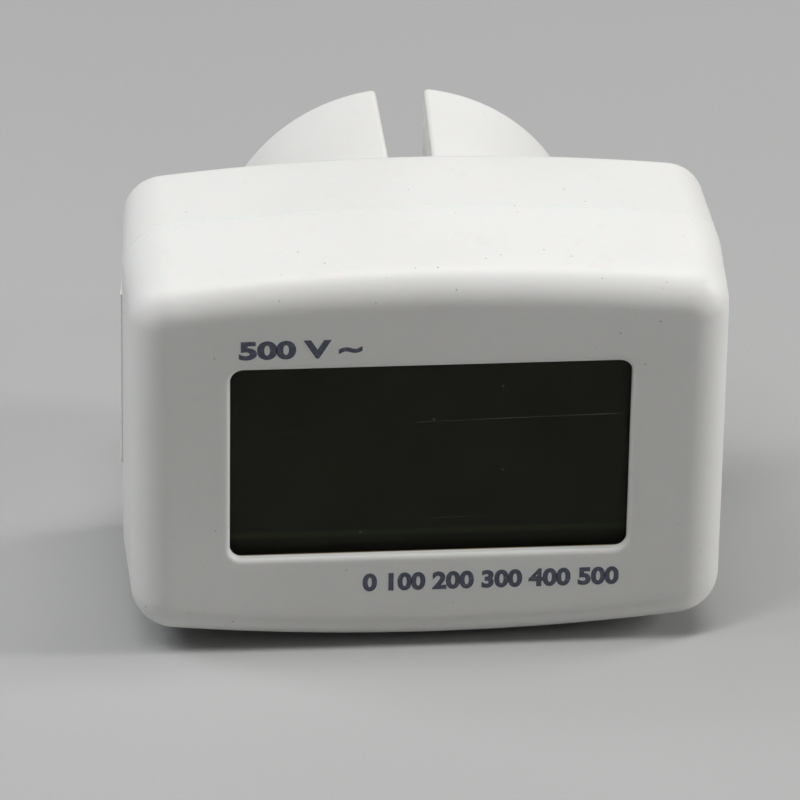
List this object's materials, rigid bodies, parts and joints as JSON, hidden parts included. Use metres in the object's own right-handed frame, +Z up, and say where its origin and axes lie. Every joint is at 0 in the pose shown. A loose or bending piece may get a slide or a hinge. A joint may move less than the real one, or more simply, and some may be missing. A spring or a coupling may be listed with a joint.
{
  "type": "plug-in mains voltmeter",
  "caption": "Plug-in digital mains voltmeter: white two-part case with a dark display window, on a round earthed-socket plug with two contact pins.",
  "frame": {"origin": "middle of the plug's end face, halfway between the two contact pins", "axes": "+X to the right of someone reading the display, +Y out of the back along the pins, +Z up"},
  "size_m": [0.0592, 0.0618, 0.043],
  "materials": {
    "white_abs": "white moulded ABS, fine matt texture",
    "smoked_lens": "clear acrylic with a faint smoke tint, polished",
    "foam_tape": "thin black foam tape",
    "polarizer_film": "neutral grey polarizing film",
    "display_glass": "soda-lime cell glass, clear",
    "white_film": "matt white diffusing film",
    "acrylic_guide": "clear acrylic, polished edges",
    "reflector_foil": "silvered film",
    "white_frame": "white moulded tray plastic",
    "elastomer": "soft pink silicone with conducting stripes",
    "led_body": "white lamp body, yellow phosphor face",
    "tinned_wire": "tinned copper lead",
    "board_laminate": "green solder mask over glass laminate",
    "screw_steel": "zinc-plated steel",
    "chip_resin": "black potting resin",
    "film_cap_box": "yellow moulded box",
    "can_sleeve": "dark blue shrink sleeve over an aluminium can",
    "varistor_coat": "blue epoxy dip",
    "ceramic_coat": "tan phenolic dip",
    "fuse_coat": "matt blue-grey cement coat",
    "diode_epoxy": "black moulded epoxy with a silver band",
    "zener_glass": "orange sealed glass with a dark band",
    "resistor_lacquer": "beige lacquer with colour bands",
    "trimmer_blue": "blue moulded plastic",
    "rotor_white": "off-white moulded plastic",
    "nickel_pin": "turned brass with bright nickel plating",
    "retainer_grey": "grey heat-resistant plastic",
    "brown_pvc": "brown wire insulation",
    "blue_pvc": "blue wire insulation",
    "label_stock": "blank white adhesive label",
    "printing_ink": "blue-black pad-printing ink"
  },
  "bodies": {
    "meter": {"front_shell": "white_abs", "rear_shell": "white_abs", "lens_tape": "foam_tape", "window_lens": "smoked_lens", "front_polarizer": "polarizer_film", "lcd_front_glass": "display_glass", "lcd_rear_glass": "display_glass", "rear_polarizer": "polarizer_film", "diffuser_film": "white_film", "light_guide": "acrylic_guide", "reflector_film": "reflector_foil", "lcd_frame": "white_frame", "zebra_strip": "elastomer", "backlight_leds": "led_body", "backlight_led_leads": "tinned_wire", "circuit_board": "board_laminate", "board_screws": "screw_steel", "controller_chip": "chip_resin", "film_capacitor": "film_cap_box", "bulk_capacitor": "can_sleeve", "filter_capacitor": "can_sleeve", "varistor": "varistor_coat", "ceramic_capacitors": "ceramic_coat", "radial_leads": "tinned_wire", "fuse_resistor": "fuse_coat", "rectifier_diodes": "diode_epoxy", "zener_diode": "zener_glass", "resistors": "resistor_lacquer", "axial_leads": "tinned_wire", "trimmer_base": "trimmer_blue", "trimmer_leads": "tinned_wire", "contact_pin_live": "nickel_pin", "contact_pin_neutral": "nickel_pin", "pin_retainer": "retainer_grey", "retainer_screws": "screw_steel", "lead_live": "brown_pvc", "lead_neutral": "blue_pvc", "lead_ends": "tinned_wire", "case_screws": "screw_steel", "side_label": "label_stock"},
    "rotor": {"trimmer_rotor": "rotor_white"}
  },
  "joints": [
    {"name": "calibration_turn", "type": "hinge", "parent": "meter", "child": "rotor", "pos_m": [0.0155, -0.0282, -0.0014], "axis": [0, 1, 0], "range_deg": [-135, 135]}
  ]
}
